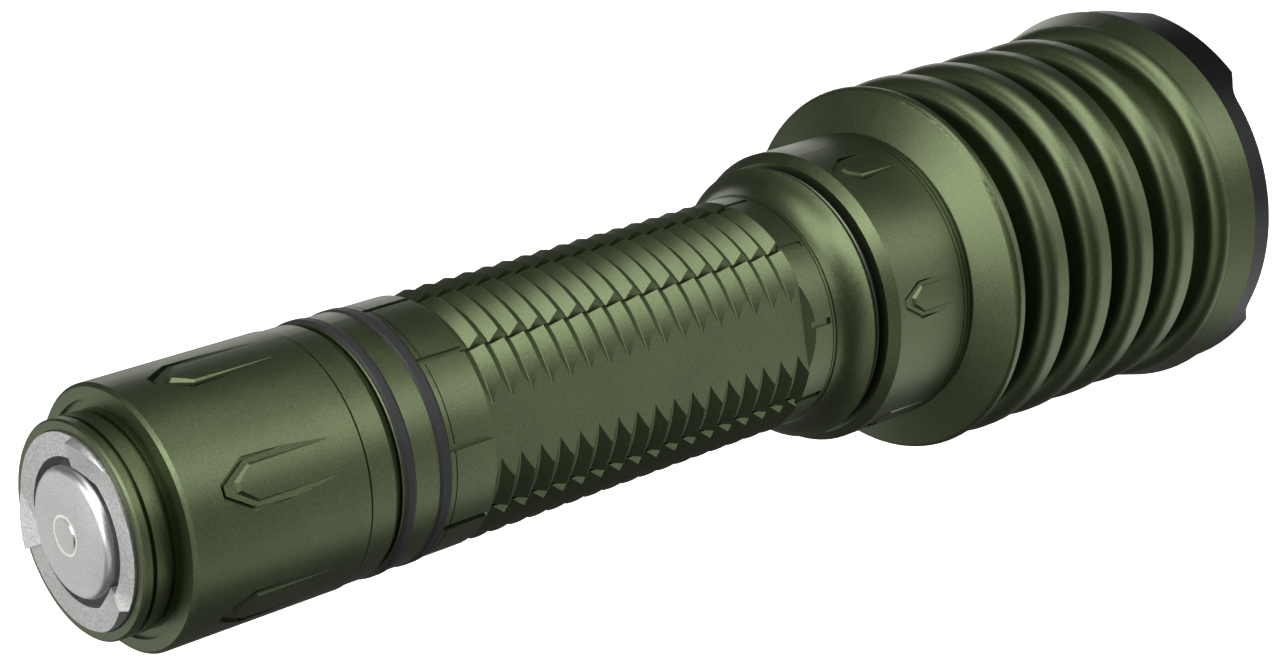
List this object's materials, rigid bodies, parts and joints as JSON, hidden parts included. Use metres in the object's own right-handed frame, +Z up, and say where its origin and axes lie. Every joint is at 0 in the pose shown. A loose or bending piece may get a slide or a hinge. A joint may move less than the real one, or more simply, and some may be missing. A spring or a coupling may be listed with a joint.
{
  "type": "tactical flashlight",
  "caption": "Hand-held tactical flashlight: ribbed battery tube, finned head with scalloped bezel, screw-off tail cap with a pressing tail switch.",
  "frame": {"origin": "on the torch's axis, in the middle of the plain band behind the ribs, where a ring clamp grips", "axes": "+X along the beam from tail to head, +Z up, one milled flat faces about -Y"},
  "size_m": [0.1525, 0.045, 0.045],
  "materials": {
    "green_anodised": "matt olive-green anodised, fine bead-blasted grain",
    "black_anodised": "satin black anodised",
    "blasted_silver": "bead-blasted, clear anodised",
    "button_silver": "fine satin, clear anodised",
    "contact_silver": "polished, plated",
    "neck_silver": "satin steel spacer",
    "black_rubber": "matt black rubber",
    "grey_silicone": "soft silicone",
    "dark_plastic": "moulded nylon",
    "board_green": "solder-masked board",
    "board_parts": "moulded component bodies",
    "board_white": "white-masked metal-core board",
    "plunger_white": "moulded acetal",
    "housing_metal": "turned, plain",
    "brass_contact": "plated",
    "spring_gold": "gold-plated spring wire",
    "spring_steel": "plain spring steel",
    "wire_red": "insulated lead",
    "led_ceramic": "white ceramic package",
    "led_phosphor": "silicone dome over yellow phosphor",
    "mirror": "vacuum-metallised smooth reflector",
    "lens_glass": "coated flat window",
    "cell_steel": "nickel-plated steel can",
    "cell_wrap": "shrink sleeve, black"
  },
  "bodies": {
    "tube_and_head": {"body_tube": "green_anodised", "tail_oring": "black_rubber", "rear_grip_ring": "black_rubber", "front_grip_ring": "black_rubber", "neck_ring": "neck_silver", "neck_oring": "black_rubber", "head_housing": "green_anodised", "driver_housing": "housing_metal", "driver_board": "board_green", "driver_parts": "board_parts", "front_spring": "spring_gold", "led_board": "board_white", "board_screws": "spring_steel", "led_wires": "wire_red", "led_package": "led_ceramic", "led_dome": "led_phosphor", "centring_ring": "dark_plastic", "reflector": "mirror", "lens_gasket": "black_rubber", "lens": "lens_glass", "front_oring": "black_rubber", "bezel": "black_anodised"},
    "battery": {"battery_can": "cell_steel", "battery_wrap": "cell_wrap", "battery_insulator": "dark_plastic", "battery_terminal": "brass_contact"},
    "tail_cap_group": {"tail_cap": "green_anodised", "switch_ring": "blasted_silver", "switch_spacer": "dark_plastic", "button_seal": "grey_silicone", "switch_holder": "dark_plastic", "tact_switch": "dark_plastic", "switch_board": "board_green", "tail_retainer": "housing_metal", "tail_contact": "brass_contact", "tail_spring": "spring_gold", "button_spring": "spring_steel"},
    "tail_button": {"button": "button_silver", "contact_insulator": "plunger_white", "button_contact": "contact_silver", "switch_plunger": "plunger_white"}
  },
  "joints": [
    {"name": "cap_advance", "type": "slide", "parent": "tube_and_head", "child": "battery", "axis": [-1, 0, 0], "range_m": [0, 0.00875], "deforming": ["front_spring"]},
    {"name": "tail_cap_turn", "type": "hinge", "parent": "battery", "child": "tail_cap_group", "pos_m": [-0.023, 0, 0], "axis": [-1, 0, 0], "range_deg": [0, 2520]},
    {"name": "button_press", "type": "slide", "parent": "tail_cap_group", "child": "tail_button", "axis": [1, 0, 0], "range_m": [0, 0.0012], "stiffness_N_per_m": 1500, "springref_m": -0.001, "deforming": ["button_spring"]}
  ],
  "couplings": [
    {"joint": "tail_cap_turn", "follows": "cap_advance", "rad_per_m": 5026.5}
  ]
}
